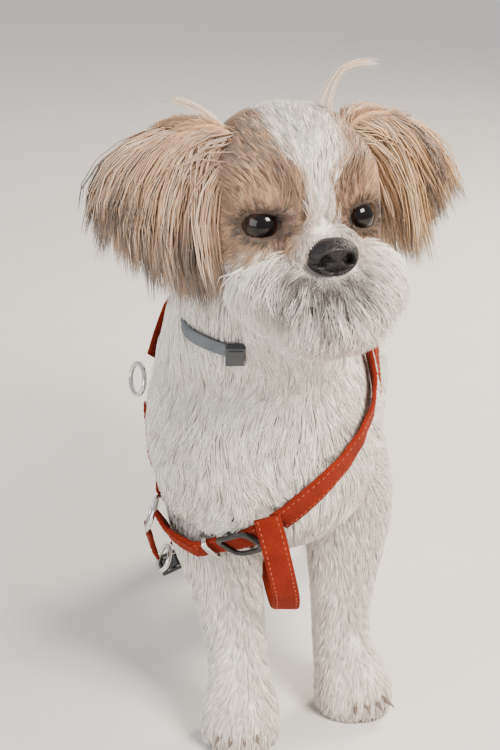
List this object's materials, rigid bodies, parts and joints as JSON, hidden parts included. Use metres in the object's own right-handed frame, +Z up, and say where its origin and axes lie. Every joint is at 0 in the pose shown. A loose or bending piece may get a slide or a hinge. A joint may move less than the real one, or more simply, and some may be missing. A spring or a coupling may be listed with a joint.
{
  "type": "shih tzu dog",
  "caption": "Life-size still model of a standing small dog with a trimmed long coat, in a webbing harness and a plastic collar.",
  "frame": {"origin": "on the floor, under the middle of the model's bounding box", "axes": "+X to the dog's left side, -Y the way the body faces, +Z up from the floor"},
  "size_m": [0.2056, 0.414, 0.3931],
  "materials": {
    "white_coat": "soft hair",
    "tan_coat": "soft hair",
    "eye": "wet gloss",
    "nose_leather": "moist pebbled",
    "claw": "satin horn",
    "webbing": "felted weave",
    "bright_steel": "polished",
    "black_plastic": "moulded satin",
    "collar_plastic": "ribbed satin"
  },
  "bodies": {
    "root": {"harness_side_ring": "bright_steel", "harness_back_ring": "bright_steel", "harness_low_ring": "bright_steel", "harness_chest_keeper": "bright_steel", "harness_chest_slider": "black_plastic", "harness_side_buckle": "black_plastic", "harness_neck_strap": "webbing", "harness_shoulder_strap": "webbing", "harness_chest_strap": "webbing", "harness_chest_overlap": "webbing", "harness_belly_strap": "webbing", "harness_side_strap": "webbing", "harness_girth_strap": "webbing", "collar_buckle": "collar_plastic", "collar": "collar_plastic", "claw_front_right_1": "claw", "claw_front_right_2": "claw", "claw_front_right_3": "claw", "claw_front_right_4": "claw", "claw_front_left_1": "claw", "claw_front_left_2": "claw", "claw_front_left_3": "claw", "claw_front_left_4": "claw", "claw_hind_right_1": "claw", "claw_hind_right_2": "claw", "claw_hind_right_3": "claw", "claw_hind_right_4": "claw", "claw_hind_left_1": "claw", "claw_hind_left_2": "claw", "claw_hind_left_3": "claw", "claw_hind_left_4": "claw", "eye_left": "eye", "eye_right": "eye", "nose": "nose_leather", "head": "tan_coat", "ear_left": "tan_coat", "ear_right": "tan_coat", "torso": "white_coat", "neck": "white_coat", "leg_front_right": "white_coat", "leg_front_left": "white_coat", "leg_hind_right": "white_coat", "leg_hind_left": "white_coat", "tail": "tan_coat"}
  },
  "joints": []
}
